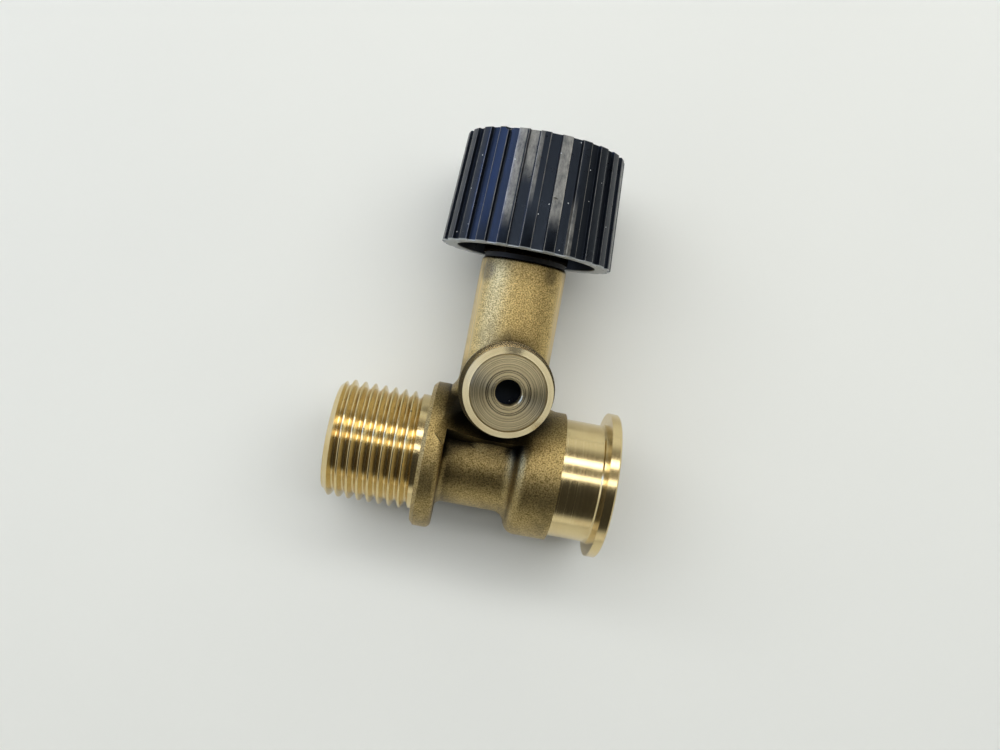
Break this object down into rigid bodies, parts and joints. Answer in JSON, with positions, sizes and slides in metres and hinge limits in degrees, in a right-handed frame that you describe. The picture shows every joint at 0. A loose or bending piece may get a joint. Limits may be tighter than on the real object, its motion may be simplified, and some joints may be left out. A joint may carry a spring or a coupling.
{
  "type": "boiler filling valve",
  "caption": "Brass boiler filling valve: forged tee with threaded inlet, clip-flanged outlet, side boss with non-return valve, and a ribbed black knob on a rising spindle.",
  "frame": {"origin": "where the run's axis and the stem's axis cross", "axes": "+X along the run from the threaded inlet to the clip flange, +Y along the stem towards the knob, +Z along the side boss, which points up as the valve lies in the picture"},
  "size_m": [0.0495, 0.0697, 0.0371],
  "materials": {
    "forged_brass": "hot-forged brass, shot-blasted and grainy, turned bright at the thread, spigot and flange",
    "turned_brass": "turned brass with fine lathe marks",
    "black_plastic": "moulded black plastic, half-gloss, scuffed",
    "black_rubber": "moulded black rubber",
    "bright_steel": "bright steel"
  },
  "bodies": {
    "body": {"valve_body": "forged_brass", "gland_nut": "turned_brass", "gland_washer": "black_rubber", "outlet_insert": "turned_brass", "insert_o_ring": "black_rubber", "check_spring": "bright_steel"},
    "jumper": {"jumper": "turned_brass", "seat_washer": "black_rubber", "washer_screw": "turned_brass"},
    "spindle": {"spindle": "turned_brass", "spindle_o_ring_lower": "black_rubber", "spindle_o_ring_upper": "black_rubber", "knob": "black_plastic", "knob_screw": "bright_steel", "knob_screw_washer": "bright_steel"},
    "poppet": {"check_poppet": "black_plastic", "check_seal": "black_rubber"}
  },
  "joints": [
    {"name": "spindle_rise", "type": "slide", "parent": "body", "child": "jumper", "axis": [0, 1, 0], "range_m": [0, 0.0025]},
    {"name": "knob_turn", "type": "hinge", "parent": "jumper", "child": "spindle", "pos_m": [0, 0.03, 0], "axis": [0, 1, 0], "range_deg": [0, 720]},
    {"name": "check_slide", "type": "slide", "parent": "body", "child": "poppet", "axis": [0, 0, 1], "range_m": [0, 0.0015], "stiffness_N_per_m": 150, "springref_m": -0.002, "deforming": ["check_spring"]}
  ],
  "couplings": [
    {"joint": "knob_turn", "follows": "spindle_rise", "rad_per_m": 5026.5}
  ]
}
